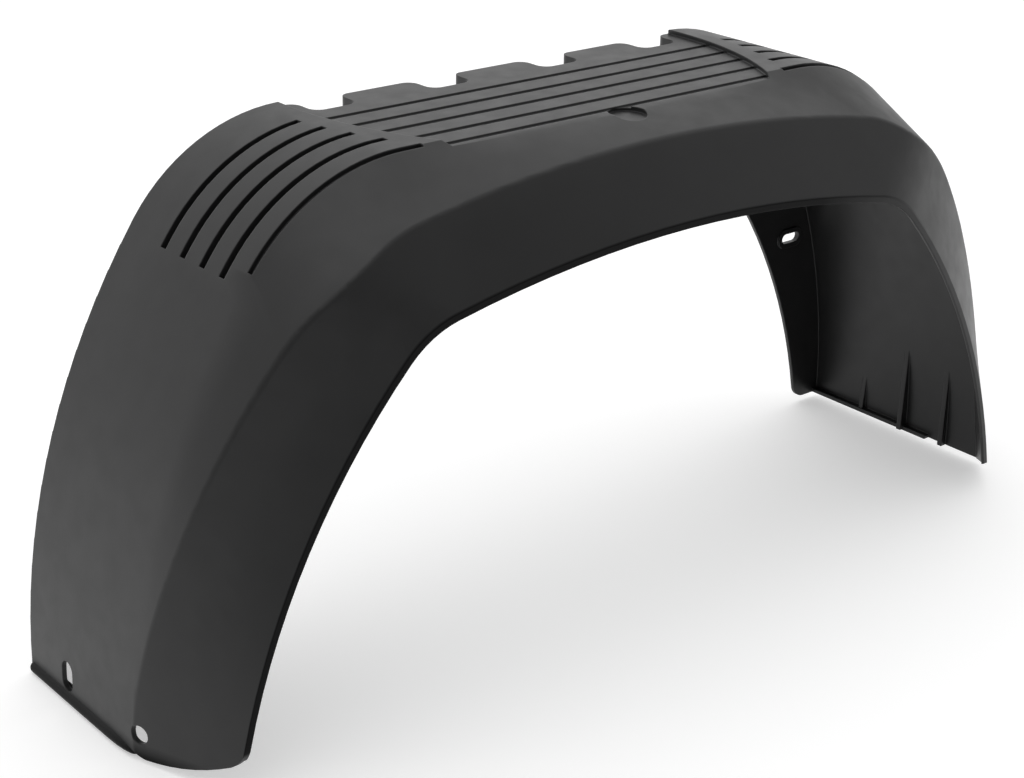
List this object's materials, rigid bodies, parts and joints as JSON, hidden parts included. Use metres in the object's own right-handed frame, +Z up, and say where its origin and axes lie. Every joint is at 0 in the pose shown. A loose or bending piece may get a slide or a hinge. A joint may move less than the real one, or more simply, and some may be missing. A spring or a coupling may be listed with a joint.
{
  "type": "trailer mudguard",
  "caption": "Moulded wheel-arch mudguard for a trailer: flat grooved top, rounded corners, slanted skirt and an inner flange with slots for bolting it to the trailer side.",
  "frame": {"origin": "on the ground under the middle of the length and width", "axes": "+X along the trailer toward its rear, +Y from the outer side to the trailer side, +Z up"},
  "size_m": [0.7224, 0.198, 0.3345],
  "materials": {
    "black_plastic": "satin, faintly grained"
  },
  "bodies": {
    "root": {"mudguard": "black_plastic"}
  },
  "joints": []
}
